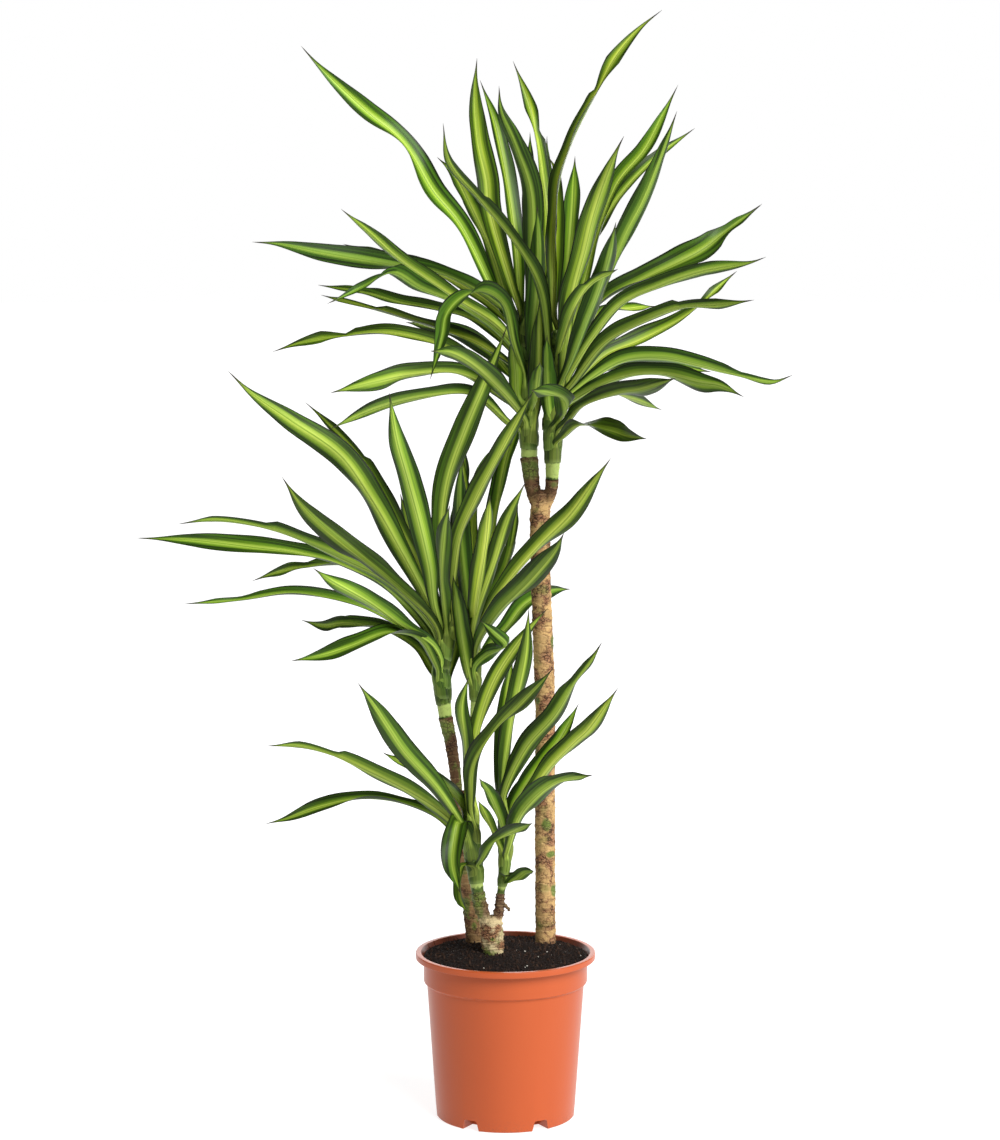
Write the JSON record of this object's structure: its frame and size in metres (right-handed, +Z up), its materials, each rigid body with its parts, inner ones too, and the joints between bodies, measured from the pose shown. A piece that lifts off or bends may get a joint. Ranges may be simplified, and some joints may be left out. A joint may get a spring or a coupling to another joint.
{
  "type": "potted corn plant",
  "caption": "Corn plant with tall, middle and short canes, each with leafy striped heads, standing in soil in a round terracotta-coloured plastic nursery pot.",
  "frame": {"origin": "centre of the flat underside of the pot, on the surface it stands on", "axes": "+Z up along the pot's axis, -Y towards the front from which the plant is seen, +X to the right seen from there"},
  "size_m": [0.7686, 0.5678, 1.288],
  "materials": {
    "pot_plastic": "semi-gloss moulded terracotta-orange polypropylene",
    "soil": "moist dark potting mix with bark crumbs and fibres",
    "bark": "ringed tan-brown cane bark with green patches",
    "leaf": "waxy green blade with a lime-yellow middle stripe"
  },
  "bodies": {
    "root": {"pot": "pot_plastic", "soil": "soil", "tall_cane": "bark", "middle_cane": "bark", "short_cane": "bark", "tall_left_head": "leaf", "tall_right_head": "leaf", "middle_left_head": "leaf", "middle_right_head": "leaf", "short_left_head": "leaf", "short_right_head": "leaf"}
  },
  "joints": []
}
